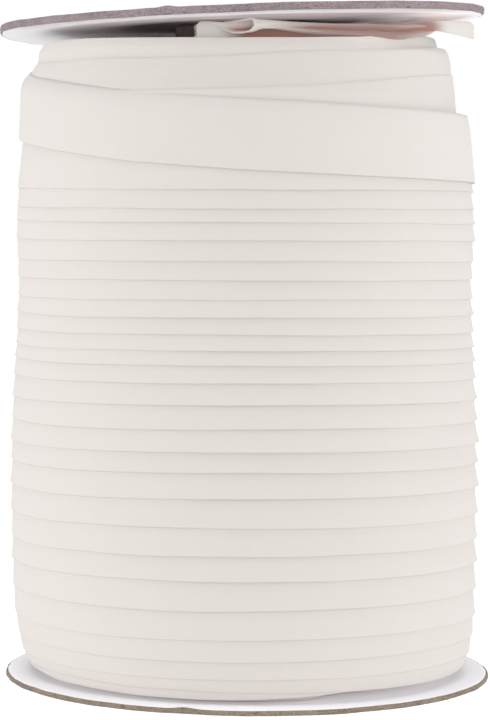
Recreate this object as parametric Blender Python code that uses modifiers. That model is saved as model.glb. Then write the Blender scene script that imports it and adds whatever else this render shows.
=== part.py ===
# Roll of bias tape on a card reel: two round boards, a card tube, the wound body and the tape's end.
#
# The reel stands on its lower board, centred on the origin, +Z up, with the tape's cut end under
# the near side (-Y) of the upper board. The body is wound as one left-handed helix whose turns lap
# like shingles. Its last wrap climbs round the back and tucks its end under the upper board.
# All named sizes are in millimetres, and MM turns them into metres.

import math
from collections import namedtuple

import bmesh
import bpy
import numpy as np
from mathutils import Vector

MM = 0.001
OBJECT_NAME = "bias_tape_roll"

# Boards of the reel
BOARD_RADIUS = 64.0
LOWER_BOARD_THICKNESS = 1.35
UPPER_BOARD_RADIUS = 63.4
UPPER_BOARD_THICKNESS = 2.1
UPPER_BOARD_HEIGHT = 171.6
UPPER_BOARD_SHIFT = -2.8
UPPER_BOARD_SLOPE_X = 0.0463
UPPER_BOARD_SLOPE_Y = 0.0077
SPINDLE_HOLE_RADIUS = 13.5
RIM_CHAMFER = 0.2
BOARD_SEGMENTS = 60

# The far left of the upper board hangs a little, past a bend line across it
DROOP_AZIMUTH = math.radians(130.0)
DROOP_START = 20.0
DROOP_DEPTH = 2.4

# Card tube
TUBE_OUTER_RADIUS = 17.5
TUBE_INNER_RADIUS = 15.0
TUBE_SEGMENTS = 40
BORE_REACH = 10.0

# Space kept between pieces that touch
CLEARANCE = 0.3

# Wound body
TURN_COLUMNS = 40
FRONT_LEVELLING = 1.5
LIP_UNDERCUT = 0.06
NOMINAL_LIP_RADIUS = 1.0
NOMINAL_ROOT_RADIUS = 0.9
NOMINAL_WELD = 0.01
CUT_TOLERANCE = 1e-7
SIDE_DROP = 1.5
SIDE_DROP_TOP = 130.0
CLIMB = 13.0
CLIMB_AZIMUTH = math.radians(125.0)
CLIMB_START = 128.7
CLIMB_FULL = 129.5
CLIMB_END = 160.0
TOP_TILT = 0.035
TOP_TILT_START = 135.0
TOP_TILT_END = 160.0
BODY_TOP = 165.9

# The body leans as it rises: height, sideways shift of its axis
AxisRow = namedtuple("AxisRow", "height shift")
AXIS_ROWS = [
    AxisRow(0.0, 0.0),
    AxisRow(20.0, -0.8),
    AxisRow(50.0, -1.1),
    AxisRow(125.0, -1.4),
    AxisRow(150.0, -2.2),
    AxisRow(171.6, -2.8),
]

# One row a turn, bottom to top: height of its lower edge at the front, radius there, and how far
# that edge stands out from the turn below. Rows with no step are ends or lie under the last wrap.
TurnRow = namedtuple("TurnRow", "height radius step")
TURN_ROWS = [
    TurnRow(-4.0, 52.0, 0.0),
    TurnRow(-0.5, 53.6, 0.0),
    TurnRow(2.9, 56.4, 0.3),
    TurnRow(4.6, 57.6, 0.3),
    TurnRow(8.0, 59.0, 0.4),
    TurnRow(12.6, 60.0, 0.5),
    TurnRow(18.0, 60.7, 0.5),
    TurnRow(25.4, 61.2, 0.7),
    TurnRow(32.6, 61.4, 0.8),
    TurnRow(38.8, 61.4, 0.8),
    TurnRow(45.7, 61.6, 0.8),
    TurnRow(52.8, 61.7, 0.9),
    TurnRow(59.2, 61.5, 0.8),
    TurnRow(64.3, 61.7, 1.0),
    TurnRow(69.9, 61.3, 0.7),
    TurnRow(75.7, 61.1, 0.8),
    TurnRow(81.1, 60.8, 0.8),
    TurnRow(85.5, 60.6, 0.7),
    TurnRow(89.1, 60.2, 0.6),
    TurnRow(93.0, 60.0, 0.6),
    TurnRow(97.2, 60.0, 0.7),
    TurnRow(101.5, 59.6, 0.5),
    TurnRow(106.2, 59.6, 0.6),
    TurnRow(110.8, 59.8, 0.6),
    TurnRow(115.9, 60.1, 0.6),
    TurnRow(120.3, 60.0, 0.5),
    TurnRow(123.7, 59.9, 0.5),
    TurnRow(128.3, 59.5, 0.5),
    TurnRow(129.6, 59.2, 0.0),
    TurnRow(130.3, 57.8, 0.0),
    TurnRow(134.5, 57.3, 0.0),
    TurnRow(140.5, 56.8, 0.0),
    TurnRow(148.5, 55.9, 0.0),
    TurnRow(154.0, 55.3, -0.4),
    TurnRow(161.2, 54.4, -0.5),
    TurnRow(164.2, 53.8, 0.0),
    TurnRow(165.5, 52.6, 0.0),
    TurnRow(168.0, 46.0, 0.0),
    TurnRow(172.0, 44.0, 0.0),
]

# Last wrap and tape end
TAPE_WIDTH = 17.6
TAPE_THICKNESS = 1.0
TAPE_POINTS = 13
TAPE_COLUMN_DEG = 9.0
SECTION_STEPS = 120
BEND_LENGTH = 2.4
START_AZIMUTH = -120.0
END_AZIMUTH = 376.0

# One row a place along the tape, from where it leaves the turns: degrees round the roll from the
# front towards the left, radius and height of its lower edge, length that stays upright before it
# bends in under the board, lean of that length in degrees, length folded back over itself, and how
# far apart the folded layers lie.
TapeRow = namedtuple("TapeRow", "azimuth radius height upright lean folded spread")
TAPE_ROWS = [
    TapeRow(-120, 60.0, 130.0, 20.0, 5.0, 0.0, 2.0),
    TapeRow(-90, 60.0, 130.4, 20.0, 6.0, 0.0, 2.0),
    TapeRow(-60, 59.9, 131.0, 20.0, 6.0, 0.0, 2.0),
    TapeRow(-30, 59.8, 131.9, 20.0, 5.0, 0.0, 2.0),
    TapeRow(0, 59.6, 133.1, 20.0, 4.0, 0.0, 2.0),
    TapeRow(30, 59.3, 135.2, 20.0, 3.0, 0.0, 2.0),
    TapeRow(60, 59.0, 138.6, 20.0, 1.0, 0.0, 2.0),
    TapeRow(90, 58.9, 141.6, 20.0, 0.5, 0.0, 2.0),
    TapeRow(120, 58.8, 145.3, 20.0, 2.0, 0.0, 2.0),
    TapeRow(150, 58.7, 149.6, 18.0, 2.0, 0.0, 2.0),
    TapeRow(180, 58.2, 154.8, 14.0, 2.0, 0.0, 2.0),
    TapeRow(210, 58.4, 160.4, 9.5, 1.0, 0.0, 2.0),
    TapeRow(240, 59.4, 165.4, 5.5, 0.0, 0.0, 2.0),
    TapeRow(270, 60.4, 168.0, 3.8, 0.0, 0.0, 2.0),
    TapeRow(290, 59.0, 168.9, 2.2, 0.0, 1.0, 2.0),
    TapeRow(308, 56.0, 168.6, 0.4, 0.0, 4.5, 2.0),
    TapeRow(325, 52.6, 168.0, -0.8, 0.0, 7.0, 2.1),
    TapeRow(345, 50.6, 167.2, -1.2, 0.0, 7.6, 2.4),
    TapeRow(362, 50.2, 166.8, -1.2, 0.0, 7.6, 3.1),
    TapeRow(376, 50.2, 166.6, -1.2, 0.0, 7.6, 2.2),
]

# Base colour, roughness and metallic value of each piece
Finish = namedtuple("Finish", "colour roughness metallic")
TAPE_FINISH = Finish((0.78, 0.72, 0.68, 1.0), 0.85, 0.0)
BOARD_FINISH = Finish((0.34, 0.30, 0.28, 1.0), 0.9, 0.0)
TUBE_FINISH = Finish((0.30, 0.24, 0.20, 1.0), 0.9, 0.0)


def clear_scene():
    """Remove every object of the open scene."""
    for item in list(bpy.data.objects):
        bpy.data.objects.remove(item, do_unlink=True)


def make_collection(name):
    """Return a new collection linked to the scene."""
    collection = bpy.data.collections.new(name)
    bpy.context.scene.collection.children.link(collection)
    return collection


def make_material(name, finish):
    """Return a Principled material with the given colour, roughness and metallic value."""
    material = bpy.data.materials.new(name)
    material.use_nodes = True
    shader = material.node_tree.nodes["Principled BSDF"]
    shader.inputs["Base Color"].default_value = finish.colour
    shader.inputs["Roughness"].default_value = finish.roughness
    shader.inputs["Metallic"].default_value = finish.metallic
    material.diffuse_color = finish.colour
    return material


def ramp(value, start, end):
    """Rise smoothly from 0 at start to 1 at end."""
    share = np.clip((value - start) / (end - start), 0.0, 1.0)
    return share * share * (3.0 - 2.0 * share)


def axis_shift(height):
    """Sideways shift of the leaning axis at a height."""
    return np.interp(height, [row.height for row in AXIS_ROWS], [row.shift for row in AXIS_ROWS])


def board_underside(x, y):
    """Height of the upper board's lower face above a point of the plan."""
    height = UPPER_BOARD_HEIGHT + UPPER_BOARD_SLOPE_X * (x - UPPER_BOARD_SHIFT)
    height += UPPER_BOARD_SLOPE_Y * y
    towards_droop = (x - UPPER_BOARD_SHIFT) * math.cos(DROOP_AZIMUTH) + y * math.sin(DROOP_AZIMUTH)
    share = max(0.0, towards_droop - DROOP_START) / (UPPER_BOARD_RADIUS - DROOP_START)
    return height - DROOP_DEPTH * share * share


def add_object(name, shape, finish, collection):
    """Turn a bmesh in metres into a named object with its own material."""
    mesh = bpy.data.meshes.new(name)
    shape.to_mesh(mesh)
    shape.free()
    mesh.shade_smooth()
    mesh.set_sharp_from_angle(angle=math.radians(30.0))
    mesh.materials.append(make_material(name, finish))
    item = bpy.data.objects.new(name, mesh)
    collection.objects.link(item)
    return item


def spun_ring(outline, segments):
    """Spin a closed outline of (radius, height) points once round Z."""
    shape = bmesh.new()
    verts = [shape.verts.new((radius * MM, 0.0, height * MM)) for radius, height in outline]
    edges = [shape.edges.new((verts[i - 1], verts[i])) for i in range(len(verts))]
    bmesh.ops.spin(shape, geom=verts + edges, cent=(0, 0, 0), axis=(0, 0, 1),
                   dvec=(0, 0, 0), angle=math.tau, steps=segments, use_merge=True)
    bmesh.ops.recalc_face_normals(shape, faces=shape.faces)
    return shape


def board_outline(radius, thickness, stations):
    """Outline of a board's half section, with extra points on both faces at the stations."""
    radii = [SPINDLE_HOLE_RADIUS] + stations + [radius - RIM_CHAMFER]
    lower = [(r, 0.0) for r in radii]
    rim = [(radius, RIM_CHAMFER), (radius, thickness - RIM_CHAMFER)]
    upper = [(r, thickness) for r in reversed(radii)]
    return lower + rim + upper


def build_lower_board(collection):
    """Flat card board on which the reel stands."""
    outline = board_outline(BOARD_RADIUS, LOWER_BOARD_THICKNESS, [])
    return add_object("board_lower", spun_ring(outline, BOARD_SEGMENTS), BOARD_FINISH, collection)


def build_upper_board(collection):
    """Card board on top: shifted and tilted, with its far left hanging."""
    outline = board_outline(UPPER_BOARD_RADIUS, UPPER_BOARD_THICKNESS, [34.0, 50.0])
    shape = spun_ring(outline, BOARD_SEGMENTS)
    for vert in shape.verts:
        vert.co.x += UPPER_BOARD_SHIFT * MM
        vert.co.z += board_underside(vert.co.x / MM, vert.co.y / MM) * MM
    return add_object("board_upper", shape, BOARD_FINISH, collection)


def build_tube(collection):
    """Card tube between the boards, leaning with the body, its top cut to the upper board."""
    foot = LOWER_BOARD_THICKNESS + CLEARANCE
    outline = [(TUBE_INNER_RADIUS, 0.0), (TUBE_OUTER_RADIUS, 0.0),
               (TUBE_OUTER_RADIUS, 1.0), (TUBE_INNER_RADIUS, 1.0)]
    shape = spun_ring(outline, TUBE_SEGMENTS)
    for vert in shape.verts:
        is_top = vert.co.z > 0.5 * MM
        shift = axis_shift(UPPER_BOARD_HEIGHT) if is_top else axis_shift(foot)
        vert.co.x += float(shift) * MM
        ceiling = board_underside(vert.co.x / MM, vert.co.y / MM) - CLEARANCE
        vert.co.z = (ceiling if is_top else foot) * MM
    return add_object("core_tube", shape, TUBE_FINISH, collection)


def shingled_helix():
    """Surface of unit turns: a lip at radius 1, sloping up to a root just under the next lip."""
    turns = len(TURN_ROWS) - 1
    shape = bmesh.new()
    profile = [(NOMINAL_LIP_RADIUS, 0.0), (NOMINAL_ROOT_RADIUS, 1.0 - LIP_UNDERCUT),
               (NOMINAL_LIP_RADIUS, 1.0)]
    verts = [shape.verts.new((0.0, -radius, height)) for radius, height in profile]
    edges = [shape.edges.new(pair) for pair in zip(verts, verts[1:])]
    bmesh.ops.spin(shape, geom=verts + edges, cent=(0, 0, 0), axis=(0, 0, 1),
                   dvec=(0, 0, 1.0 / TURN_COLUMNS), angle=-math.tau * turns,
                   steps=TURN_COLUMNS * turns, use_merge=False)
    bmesh.ops.remove_doubles(shape, verts=shape.verts, dist=NOMINAL_WELD)
    return shape


def wrap_climb(height, left, front):
    """Rise of the body under the last wrap, which climbs from the left round to the back."""
    facing = front * math.cos(CLIMB_AZIMUTH) + left * math.sin(CLIMB_AZIMUTH)
    fade = np.clip((CLIMB_END - height) / (CLIMB_END - CLIMB_FULL), 0.0, 1.0)
    return CLIMB * max(0.0, facing) ** 2 * fade * ramp(height, CLIMB_START, CLIMB_FULL)


def settle_turns(shape):
    """Move the unit turns to the heights, radii, lean, side drop and top tilt of the real ones."""
    numbers = np.arange(len(TURN_ROWS))
    heights = [row.height for row in TURN_ROWS]
    radii = [row.radius for row in TURN_ROWS]
    steps = [row.step for row in TURN_ROWS]
    divide = (NOMINAL_LIP_RADIUS + NOMINAL_ROOT_RADIUS) / 2.0
    for vert in shape.verts:
        reach = math.hypot(vert.co.x, vert.co.y)
        left, front = -vert.co.x / reach, -vert.co.y / reach
        turn = vert.co.z
        is_root = reach < divide
        lip_turn = turn + LIP_UNDERCUT if is_root else turn
        radius = np.interp(lip_turn, numbers, radii)
        if is_root:
            radius -= np.interp(lip_turn, numbers, steps)
        height = np.interp(turn - FRONT_LEVELLING / math.tau * left, numbers, heights)
        if height < SIDE_DROP_TOP:
            wave = math.sin(math.pi * max(height, 0.0) / SIDE_DROP_TOP)
            height -= SIDE_DROP * wave * left * left
        height += wrap_climb(height, left, front)
        x = float(axis_shift(height)) - radius * left
        height += TOP_TILT * ramp(height, TOP_TILT_START, TOP_TILT_END) * x
        vert.co = Vector((x, -radius * front, height)) * MM


def cut_flat(shape, height, normal):
    """Cut away what lies past a plane through the axis at a height, and close the cut."""
    found = bmesh.ops.bisect_plane(shape, geom=shape.verts[:] + shape.edges[:] + shape.faces[:],
                                   dist=CUT_TOLERANCE, plane_co=(0.0, 0.0, height * MM),
                                   plane_no=normal, clear_outer=True)
    rim = [item for item in found["geom_cut"] if isinstance(item, bmesh.types.BMEdge)]
    bmesh.ops.edgenet_fill(shape, edges=rim)


def build_winding(collection, cutters):
    """The wound body: shingled turns, cut flat at both ends, with the tube's hole through it."""
    shape = shingled_helix()
    settle_turns(shape)
    cut_flat(shape, LOWER_BOARD_THICKNESS + CLEARANCE, (0.0, 0.0, -1.0))
    cut_flat(shape, BODY_TOP, Vector((-TOP_TILT, 0.0, 1.0)).normalized())
    bmesh.ops.recalc_face_normals(shape, faces=shape.faces)
    body = add_object("winding", shape, TAPE_FINISH, collection)

    bore = leaning_column(TUBE_OUTER_RADIUS + CLEARANCE, -BORE_REACH, UPPER_BOARD_HEIGHT + BORE_REACH)
    cutter = add_object("tube_bore_cutter", bore, TUBE_FINISH, cutters)
    cutter.hide_render = True
    cutter.display_type = "WIRE"
    cut = body.modifiers.new("tube_bore", "BOOLEAN")
    cut.operation = "DIFFERENCE"
    cut.solver = "EXACT"
    cut.object = cutter
    return body


def leaning_column(radius, foot, top):
    """Round column between two heights, leaning with the body's axis."""
    shape = bmesh.new()
    bmesh.ops.create_cone(shape, cap_ends=True, segments=TUBE_SEGMENTS, radius1=radius * MM,
                          radius2=radius * MM, depth=(top - foot) * MM)
    for vert in shape.verts:
        height = vert.co.z / MM + (top + foot) / 2.0
        share = height / UPPER_BOARD_HEIGHT
        vert.co.x += share * UPPER_BOARD_SHIFT * MM
        vert.co.z = height * MM
    return shape


def tape_row(azimuth):
    """All columns of the tape table, read between its rows at an azimuth."""
    stations = [row.azimuth for row in TAPE_ROWS]
    columns = zip(*TAPE_ROWS)
    return TapeRow(*[float(np.interp(azimuth, stations, column)) for column in columns])


def tape_section(row, room):
    """Points (outward, upward) across the tape: upright, then bent in, then folded back.

    The direction starts upright, turns inwards over the bend, and turns back outwards over the
    fold. The points are evenly spaced along the width.
    """
    step = TAPE_WIDTH / SECTION_STEPS
    along = (np.arange(SECTION_STEPS) + 0.5) * step
    upright = min(row.upright, room)
    fold_length = math.pi * row.spread / 2.0
    fold_start = TAPE_WIDTH - row.folded - fold_length * min(1.0, row.folded)
    bend = np.clip((along - upright) / BEND_LENGTH, 0.0, 1.0)
    fold = np.clip((along - fold_start) / fold_length, 0.0, 1.0) if row.folded > 0.0 else 0.0
    lean = math.radians(row.lean)
    angle = math.pi / 2.0 * (1.0 + bend) + lean * (1.0 - bend) - math.pi * fold
    outward = np.concatenate([[0.0], np.cumsum(np.cos(angle)) * step])
    upward = np.concatenate([[0.0], np.cumsum(np.sin(angle)) * step])
    picks = np.linspace(0, SECTION_STEPS, TAPE_POINTS).round().astype(int)
    return outward[picks], upward[picks]


def tape_column(azimuth):
    """Centre-line points of the tape at one azimuth, in millimetres."""
    row = tape_row(azimuth)
    angle = math.radians(azimuth)
    left, front = math.sin(angle), math.cos(angle)
    shift = float(axis_shift(row.height))
    below_board = CLEARANCE + TAPE_THICKNESS / 2.0
    ceiling = board_underside(shift - row.radius * left, -row.radius * front) - below_board
    outward, upward = tape_section(row, ceiling - row.height - BEND_LENGTH * 2.0 / math.pi)
    points = []
    for radius, height in zip(row.radius - TAPE_THICKNESS / 2.0 + outward, row.height + upward):
        x, y = shift - radius * left, -radius * front
        points.append((x, y, min(height, board_underside(x, y) - below_board)))
    return points


def build_tape_end(collection):
    """The last wrap and its end: a sheet lofted through its sections, then given thickness."""
    count = round((END_AZIMUTH - START_AZIMUTH) / TAPE_COLUMN_DEG)
    shape = bmesh.new()
    columns = []
    for azimuth in np.linspace(START_AZIMUTH, END_AZIMUTH, count + 1):
        points = [Vector(point) * MM for point in tape_column(azimuth)]
        columns.append([shape.verts.new(point) for point in points])
    for near, far in zip(columns, columns[1:]):
        for i in range(TAPE_POINTS - 1):
            shape.faces.new((near[i], near[i + 1], far[i + 1], far[i]))
    bmesh.ops.recalc_face_normals(shape, faces=shape.faces)
    tape = add_object("tape_end", shape, TAPE_FINISH, collection)
    thick = tape.modifiers.new("cloth_thickness", "SOLIDIFY")
    thick.thickness = TAPE_THICKNESS * MM
    thick.offset = 0.0
    return tape


def main():
    """Build every piece of the roll."""
    clear_scene()
    parts = make_collection(OBJECT_NAME)
    cutters = make_collection("cutters")
    build_lower_board(parts)
    build_tube(parts)
    build_winding(parts, cutters)
    build_upper_board(parts)
    build_tape_end(parts)


main()
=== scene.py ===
"""Roll of bias tape on a card reel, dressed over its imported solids.

The roll has two paper-faced greyboard discs, a card tube, a body of earlier layers, the outer turns
of the tape as one long lapped strip, and the tape's end tucked under the tilted upper board. Sizes
are in millimetres and MM turns them into metres. An azimuth is counted from the front (-Y) towards
the left (-X), so "left" is its sine and "front" its cosine.
"""

from __future__ import annotations

import logging
import math
from dataclasses import dataclass, field, replace
from enum import Enum
from typing import Callable, NamedTuple, Sequence

import bmesh
import bpy
import numpy as np
from mathutils import Matrix, Vector


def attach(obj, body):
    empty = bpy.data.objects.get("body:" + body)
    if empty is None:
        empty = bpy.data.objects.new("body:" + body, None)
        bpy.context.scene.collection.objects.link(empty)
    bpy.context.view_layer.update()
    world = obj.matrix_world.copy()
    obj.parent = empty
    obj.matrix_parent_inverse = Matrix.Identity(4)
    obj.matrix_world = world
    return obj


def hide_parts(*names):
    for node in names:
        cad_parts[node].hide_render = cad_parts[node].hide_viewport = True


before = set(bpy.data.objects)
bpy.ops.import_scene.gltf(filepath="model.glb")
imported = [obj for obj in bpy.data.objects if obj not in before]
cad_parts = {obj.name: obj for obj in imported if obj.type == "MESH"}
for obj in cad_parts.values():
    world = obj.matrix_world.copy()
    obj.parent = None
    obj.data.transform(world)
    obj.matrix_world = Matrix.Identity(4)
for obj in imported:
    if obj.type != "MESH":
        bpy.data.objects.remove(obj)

MM = 0.001
FULL_TURN = 360.0
LOG = logging.getLogger("bias_tape_roll")

Array = np.ndarray
Shape = bmesh.types.BMesh
Piece = bpy.types.Object
Socket = bpy.types.NodeSocket
Material = bpy.types.Material
Place = Callable[[Array, Array], Array]
"""Gives points, or one share for each, at shares along and across a piece."""


# ---------------------------------------------------------------------------------------------
# Tables of sizes
# ---------------------------------------------------------------------------------------------


class Reading(NamedTuple):
    """One row of a plain table: where it is read, and the value there."""

    at: float
    value: float


class TurnRow(NamedTuple):
    """One outer turn at the front: its lower edge, radius there, and how far that edge stands out."""

    height: float
    radius: float
    step: float


class TapeRow(NamedTuple):
    """One place along the last wrap and the loose end.

    azimuth in degrees, radius and height of the lower edge, length that stays upright before the
    tape bends in under the board, lean of that length in degrees, and how far in degrees its
    upper edge curls against the body.
    """

    azimuth: float
    radius: float
    height: float
    upright: float
    lean: float
    tuck: float


class PocketRow(NamedTuple):
    """One place along the opened hem.

    azimuth in degrees, radius of its front, depth, height of its middle, half its height, and how
    far its crease is pressed in.
    """

    azimuth: float
    radius: float
    depth: float
    middle: float
    half: float
    pinch: float


# Height, and the sideways shift of the leaning axis there.
AXIS_ROWS = [Reading(*row) for row in (
    (0.0, 0.0), (20.0, -0.8), (50.0, -1.1), (125.0, -1.4), (150.0, -2.2), (171.6, -2.8),
)]

TURN_ROWS = [TurnRow(*row) for row in (
    (-4.0, 54.6, 0.2), (-0.5, 55.2, 0.2), (2.5, 56.3, 0.3), (4.75, 57.6, 0.35), (8.0, 59.1, 0.35),
    (12.6, 60.0, 0.5), (18.0, 60.7, 0.5), (25.4, 61.2, 0.7), (32.6, 61.4, 0.8), (38.8, 61.4, 0.8),
    (45.7, 61.6, 0.8), (52.8, 61.7, 0.9), (59.2, 61.5, 0.8), (64.3, 61.7, 1.0), (69.9, 61.3, 0.7),
    (75.7, 61.1, 0.8), (81.1, 60.8, 0.8), (85.5, 60.6, 0.7), (89.1, 60.2, 0.6), (93.0, 60.0, 0.6),
    (97.2, 60.0, 0.7), (101.5, 59.6, 0.5), (106.2, 59.6, 0.6), (110.8, 59.8, 0.6), (115.9, 60.1, 0.6),
    (120.3, 60.0, 0.5), (123.7, 59.9, 0.5), (128.3, 59.5, 0.5), (133.1, 59.6, 0.6),
    (137.9, 59.0, 0.4), (142.7, 58.4, 0.4), (147.5, 57.8, 0.4),
)]

# Turn number, and height of the strip's lower edge where it runs over the lower board.
FOOT_ROWS = [Reading(*row) for row in (
    (1.80, 5.3), (1.90, 4.6), (1.925, 4.17), (1.961, 3.51), (1.997, 2.94), (2.025, 2.72),
    (2.086, 2.73), (2.125, 3.03), (2.16, 3.05), (2.19, 3.8), (2.25, 3.7), (2.5, 3.7), (2.75, 3.85),
    (2.85, 3.99), (2.883, 4.23), (2.925, 4.41), (2.997, 4.77), (3.053, 5.1), (3.083, 4.9),
    (3.12, 5.25), (3.3, 5.3),
)]

TAPE_ROWS = [TapeRow(*row) for row in (
    (-360, 59.5, 128.3, 20.0, 6.0, 0.0), (-300, 59.5, 128.2, 20.0, 6.0, 0.0),
    (-240, 59.6, 128.6, 20.0, 6.0, 3.0), (-180, 59.8, 129.2, 20.0, 6.0, 8.0),
    (-120, 60.0, 130.0, 20.0, 6.0, 8.0), (-90, 60.1, 130.4, 20.0, 6.0, 8.0),
    (-60, 60.0, 131.0, 20.0, 6.0, 12.0), (-30, 59.8, 131.9, 20.0, 5.0, 22.0),
    (0, 59.6, 133.1, 20.0, 4.0, 28.0), (30, 59.3, 135.2, 20.0, 3.0, 32.0),
    (60, 59.0, 138.6, 20.0, 2.0, 40.0), (90, 58.9, 141.9, 20.0, 2.0, 48.0),
    (120, 58.8, 145.6, 20.0, 3.0, 46.0), (150, 58.6, 150.6, 18.0, 2.0, 24.0),
    (180, 58.0, 157.0, 14.0, 2.0, 0.0), (205, 57.8, 163.6, 8.0, 1.0, 0.0),
    (222, 58.2, 168.4, 4.0, 0.0, 0.0), (235, 59.0, 171.9, 0.5, 0.0, 0.0),
    (246, 60.0, 172.4, 0.3, 0.0, 0.0), (254, 60.4, 171.3, 0.8, 0.0, 0.0),
    (263, 60.6, 169.6, 1.9, 0.0, 0.0), (270, 60.6, 168.5, 2.8, 0.0, 0.0),
    (277, 60.1, 168.1, 2.8, 0.0, 0.0), (286, 58.0, 168.5, 1.9, 0.0, 0.0),
    (298, 55.6, 169.1, 0.7, 0.0, 0.0), (304, 53.4, 168.5, 0.6, 0.0, 0.0),
    (312, 51.4, 167.4, 0.7, 0.0, 0.0), (326, 50.0, 165.8, 1.0, 0.0, 0.0),
    (340, 49.6, 165.2, 1.2, 0.0, 0.0), (355, 49.2, 165.0, 1.6, 0.0, 0.0),
    (363, 49.0, 165.0, 2.4, 0.0, 0.0), (369, 49.0, 165.0, 2.9, 0.0, 0.0),
    (374, 49.0, 165.0, 2.9, 3.0, 0.0),
)]

# Degrees towards the right along the earlier layer, and height of its upper edge.
UNDER_ROWS = [Reading(*row) for row in (
    (-360, 144.0), (-90, 151.0), (-24, 152.6), (-3, 153.1), (15, 154.0), (34, 155.6), (60, 157.7),
    (100, 159.4), (180, 160.4), (270, 160.2), (302, 160.3), (320, 160.7), (340, 160.6), (358, 161.2),
    (375, 162.4), (400, 163.4), (428, 165.1), (460, 165.6), (540, 166.0), (630, 165.6), (672, 165.9),
    (695, 165.6), (715, 165.5), (736, 165.8), (755, 166.5), (778, 168.2), (800, 167.9), (830, 167.4),
)]

# How strongly the lower board's paper glows with painted light, sent out as emission: radii of the columns,
# then rows by azimuth.
FOOT_RADII = (44.0, 48.0, 51.0, 53.5, 57.0, 61.0)
FOOT_PAINTED_LIGHT = [
    (-120.0, 0.0, 0.0, 0.0, 0.0, 0.0, 0.0),
    (-90.0, 0.0, 0.02, 0.05, 0.08, 0.05, 0.0),
    (-70.0, 0.03, 0.1, 0.16, 0.17, 0.09, 0.0),
    (-30.0, 0.03, 0.1, 0.17, 0.19, 0.11, 0.0),
    (0.0, 0.0, 0.0, 0.04, 0.14, 0.13, 0.01),
    (30.0, 0.0, 0.0, 0.04, 0.14, 0.12, 0.0),
    (60.0, 0.0, 0.0, 0.02, 0.09, 0.07, 0.0),
    (90.0, 0.0, 0.0, 0.0, 0.0, 0.0, 0.0),
    (120.0, 0.0, 0.0, 0.0, 0.0, 0.0, 0.0),
]

# The same painted light for the paper under the upper board.
SLOT_RADII = (30.0, 36.0, 44.0, 50.0, 56.0, 60.0)
SLOT_PAINTED_LIGHT = [
    (-130.0, 0.0, 0.0, 0.0, 0.0, 0.0, 0.0),
    (-95.0, 0.0, 0.05, 0.1, 0.2, 0.3, 0.1),
    (-75.0, 0.05, 0.12, 0.25, 0.4, 0.45, 0.15),
    (-60.0, 0.08, 0.13, 0.2, 0.3, 0.3, 0.05),
    (-45.0, 0.17, 0.19, 0.2, 0.18, 0.06, 0.0),
    (-20.0, 0.2, 0.24, 0.25, 0.16, 0.04, 0.0),
    (0.0, 0.16, 0.24, 0.26, 0.15, 0.02, 0.0),
    (20.0, 0.04, 0.17, 0.22, 0.06, 0.0, 0.0),
    (35.0, 0.01, 0.05, 0.22, 0.08, 0.0, 0.0),
    (60.0, 0.0, 0.02, 0.12, 0.08, 0.0, 0.0),
    (90.0, 0.0, 0.0, 0.0, 0.0, 0.0, 0.0),
]

# Height, and the radius of the body under the earlier layer there.
SKIN_ROWS = [Reading(*row) for row in (
    (120.0, 58.1), (130.0, 57.5), (140.0, 56.5), (148.0, 55.6), (154.0, 54.9), (161.0, 54.1),
    (163.7, 53.5), (165.5, 52.3), (168.0, 51.4),
)]


POCKET_ROWS = [PocketRow(*row) for row in (
    (-64.0, 56.0, 6.0, 170.0, 0.9, 0.3), (-60.0, 55.6, 7.0, 169.1, 1.6, 1.4),
    (-52.0, 54.3, 8.0, 168.3, 1.9, 2.2), (-45.0, 53.3, 8.0, 168.0, 2.0, 2.3),
    (-35.0, 52.3, 8.0, 167.9, 1.95, 2.2), (-27.0, 52.1, 7.5, 167.9, 1.8, 1.8),
    (-20.0, 52.1, 7.0, 168.15, 1.55, 1.4), (-14.0, 52.2, 6.0, 168.55, 1.2, 1.0),
    (-9.0, 52.2, 4.5, 168.85, 1.05, 0.6), (-5.5, 52.2, 3.6, 168.9, 1.15, 0.1),
    (-3.0, 52.2, 3.2, 168.6, 1.6, 0.0), (0.0, 52.1, 2.9, 168.4, 1.65, 0.0),
    (3.0, 51.9, 2.6, 168.35, 1.55, 0.0), (6.0, 51.5, 2.2, 168.9, 0.95, 0.0),
    (9.0, 51.0, 1.8, 169.5, 0.3, 0.0),
)]

# Azimuth, and how far the hem's cloth lies in shadow there.
HEM_SHADE = [(-66.0, 0.15), (-58.0, 0.7), (-45.0, 0.95), (-27.0, 0.88), (-20.0, 0.72), (-14.0, 0.45),
             (-7.0, 0.0)]

# Radius and height up the outside of the inner layers, above their foot.
INNER_OUTLINE = [
    (52.4, 2.6), (54.6, 5.0), (56.6, 9.5), (58.0, 18.0), (58.9, 40.0), (58.9, 64.0), (57.8, 90.0),
    (57.0, 112.0), (56.3, 126.0), (54.3, 140.0), (52.7, 152.0), (51.6, 160.0), (50.6, 163.8),
]


# ---------------------------------------------------------------------------------------------
# Small maths
# ---------------------------------------------------------------------------------------------


def ramp(value: Array | float, start: float, end: float) -> Array:
    """Rise smoothly from 0 at start to 1 at end.

    Args:
        value: The number or numbers to grade.
        start: Where the rise begins.
        end: Where it is complete.

    Returns:
        The share, between 0 and 1.
    """
    share = np.clip((np.asarray(value, float) - start) / (end - start), 0.0, 1.0)
    return share * share * (3.0 - 2.0 * share)


def read_table(rows: Sequence[tuple], at: Array, column: int = 1) -> Array:
    """Read one column of a table between its rows.

    Args:
        rows: The table, sorted by its first column.
        at: Values of the first column to read at.
        column: Number of the column to read.

    Returns:
        The interpolated values.
    """
    return np.interp(at, [row[0] for row in rows], [row[column] for row in rows])


def pick(shares: Array, stops: Array) -> Array:
    """Values at shares of the way along a list of stops."""
    return np.interp(shares * (len(stops) - 1), np.arange(len(stops)), stops)


def wrapped(angle: Array | float) -> Array | float:
    """The same angle between -180 and 180 degrees."""
    return (angle + 180.0) % FULL_TURN - 180.0


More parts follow.
